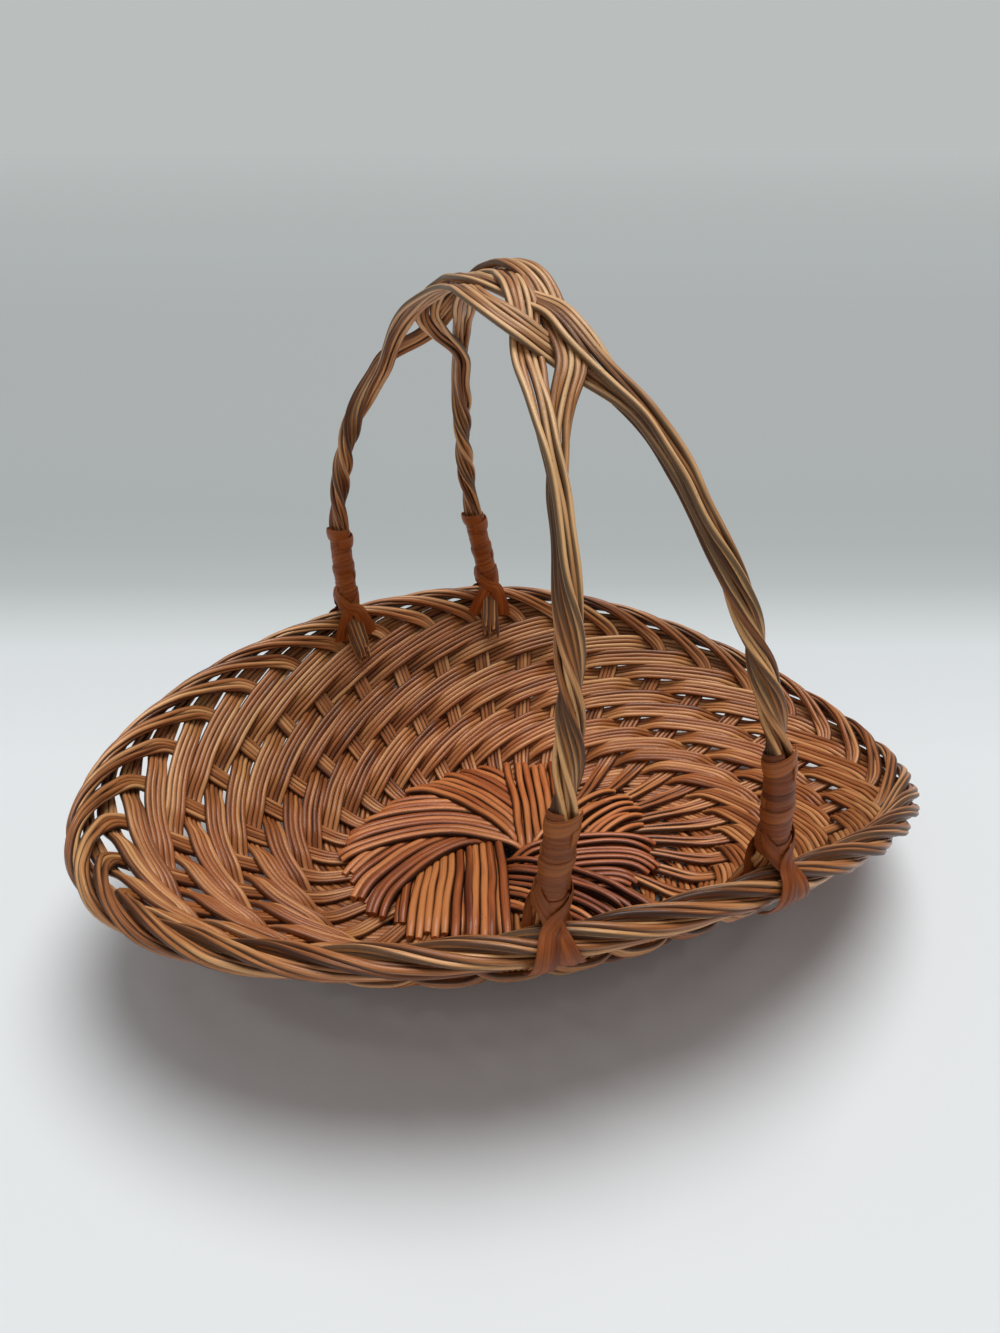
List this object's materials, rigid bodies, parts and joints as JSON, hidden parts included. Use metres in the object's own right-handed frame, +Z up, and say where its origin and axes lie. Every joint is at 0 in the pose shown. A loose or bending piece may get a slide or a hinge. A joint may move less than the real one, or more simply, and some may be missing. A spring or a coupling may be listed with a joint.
{
  "type": "gathering basket",
  "caption": "Shallow oval basket interlaced from flat bands of cane, with dipping ends, a rope foot and a high arched handle on four twisted legs.",
  "frame": {"origin": "centre of the oval on the plane that the basket stands on", "axes": "+X along the long axis of the oval towards its lower end, +Y across it under the handle's arch, +Z up"},
  "size_m": [0.4044, 0.2994, 0.2895],
  "materials": {
    "wall_cane": "satin",
    "base_cane": "satin",
    "handle_cane": "satin",
    "binding_peel": "satin"
  },
  "bodies": {
    "root": {"wall_band_01": "wall_cane", "wall_band_02": "wall_cane", "wall_band_03": "wall_cane", "wall_band_04": "wall_cane", "wall_band_05": "wall_cane", "wall_band_06": "wall_cane", "wall_band_07": "wall_cane", "wall_band_08": "wall_cane", "wall_band_09": "wall_cane", "wall_band_10": "wall_cane", "wall_band_11": "wall_cane", "wall_band_12": "wall_cane", "wall_band_13": "wall_cane", "wall_band_14": "wall_cane", "wall_band_15": "wall_cane", "wall_band_16": "wall_cane", "wall_band_17": "wall_cane", "wall_band_18": "wall_cane", "wall_band_19": "wall_cane", "wall_band_20": "wall_cane", "wall_band_21": "wall_cane", "wall_band_22": "wall_cane", "wall_band_23": "wall_cane", "wall_band_24": "wall_cane", "wall_band_25": "wall_cane", "wall_band_26": "wall_cane", "wall_band_27": "wall_cane", "wall_band_28": "wall_cane", "wall_band_29": "wall_cane", "wall_band_30": "wall_cane", "wall_band_31": "wall_cane", "wall_band_32": "wall_cane", "wall_band_33": "wall_cane", "wall_band_34": "wall_cane", "wall_band_35": "wall_cane", "wall_band_36": "wall_cane", "base_arm_1": "base_cane", "base_arm_2": "base_cane", "base_arm_3": "base_cane", "base_arm_4": "base_cane", "base_arm_5": "base_cane", "base_arm_6": "base_cane", "base_arm_7": "base_cane", "base_arm_8": "base_cane", "foot_ring": "wall_cane", "handle_band_over": "handle_cane", "handle_band_under": "handle_cane", "handle_band_left": "handle_cane", "handle_band_right": "handle_cane", "binding_far_left": "binding_peel", "binding_far_right": "binding_peel", "binding_near_left": "binding_peel", "binding_near_right": "binding_peel", "tie_far_left": "binding_peel", "tie_far_right": "binding_peel", "tie_near_left": "binding_peel", "tie_near_right": "binding_peel"}
  },
  "joints": []
}
